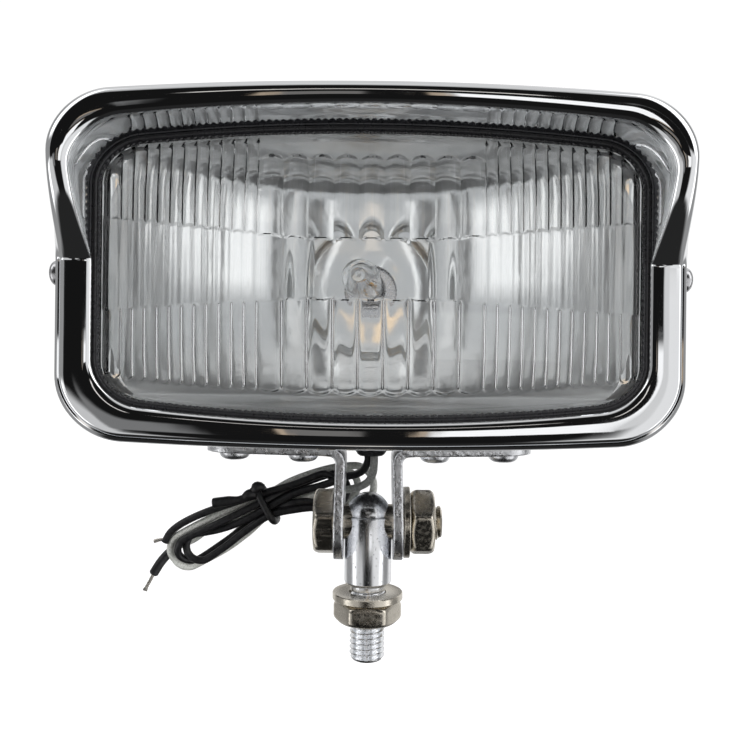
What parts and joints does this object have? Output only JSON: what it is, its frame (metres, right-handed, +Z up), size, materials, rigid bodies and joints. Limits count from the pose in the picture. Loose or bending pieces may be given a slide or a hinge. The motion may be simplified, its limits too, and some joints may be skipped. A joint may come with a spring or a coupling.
{
  "type": "fog light",
  "caption": "Rectangular chrome fog light with a visor bezel, fluted glass lens and halogen bulb, on a tilting bracket and a swivelling threaded stud, with two tied leads.",
  "frame": {"origin": "on the stud's axis, at the top face of the washer that clamps the stud to the vehicle", "axes": "+Z up along the stud, the lens faces -Y, +X to the right as seen from the front"},
  "size_m": [0.1654, 0.087, 0.151],
  "materials": {
    "chrome": "mirror-bright chrome plate",
    "zinc_steel": "bright zinc plate, slightly rough at cut edges",
    "nickel_steel": "warm grey nickel plate, satin",
    "clear_glass": "clear pressed glass",
    "reflector_mirror": "vacuum-metallised reflector",
    "rubber": "matte black rubber",
    "black_paint": "satin black paint",
    "black_pvc": "black wire insulation",
    "white_pvc": "greyish white wire insulation",
    "tinned_copper": "tinned copper",
    "ceramic": "off-white ceramic"
  },
  "bodies": {
    "vehicle_clamp": {"stud_washer": "nickel_steel", "stud_nut": "nickel_steel"},
    "swivel": {"swivel_stud": "chrome"},
    "lamp_head": {"bezel": "chrome", "bezel_screw_left": "zinc_steel", "bezel_screw_right": "zinc_steel", "lens": "clear_glass", "lens_gasket": "rubber", "reflector": "reflector_mirror", "bulb_holder": "zinc_steel", "bulb_glass": "clear_glass", "bulb_base": "zinc_steel", "bulb_insulator": "ceramic", "bulb_terminal": "tinned_copper", "bulb_filament": "tinned_copper", "rear_housing": "black_paint", "grommet": "rubber", "bracket_left": "zinc_steel", "bracket_right": "zinc_steel", "bracket_screw_outer_left": "zinc_steel", "bracket_screw_inner_left": "zinc_steel", "bracket_screw_inner_right": "zinc_steel", "bracket_screw_outer_right": "zinc_steel", "bracket_nut_outer_left": "zinc_steel", "bracket_nut_inner_left": "zinc_steel", "bracket_nut_inner_right": "zinc_steel", "bracket_nut_outer_right": "zinc_steel", "pivot_bolt": "nickel_steel", "pivot_washer": "nickel_steel", "pivot_nut": "nickel_steel", "lead_connector": "black_pvc", "ground_terminal": "tinned_copper", "ground_screw": "zinc_steel", "black_lead_inner": "black_pvc", "white_lead_inner": "white_pvc", "black_lead": "black_pvc", "white_lead": "white_pvc", "lead_hank": "black_pvc", "wire_tie": "black_pvc", "white_lead_sleeve": "black_pvc", "white_lead_tip": "tinned_copper", "black_lead_tip": "tinned_copper"},
    "bulb_bail": {"bulb_clip": "zinc_steel"}
  },
  "joints": [
    {"name": "pan", "type": "hinge", "parent": "vehicle_clamp", "child": "swivel", "pos_m": [0, 0, 0], "axis": [0, 0, 1], "range_deg": [-90, 90]},
    {"name": "tilt", "type": "hinge", "parent": "swivel", "child": "lamp_head", "pos_m": [0, 0, 0.0198], "axis": [1, 0, 0], "range_deg": [-60, 60]},
    {"name": "bulb_clip_swing", "type": "hinge", "parent": "lamp_head", "child": "bulb_bail", "pos_m": [0, 0.0226, 0.1006], "axis": [1, 0, 0], "range_deg": [0, 35]}
  ]
}
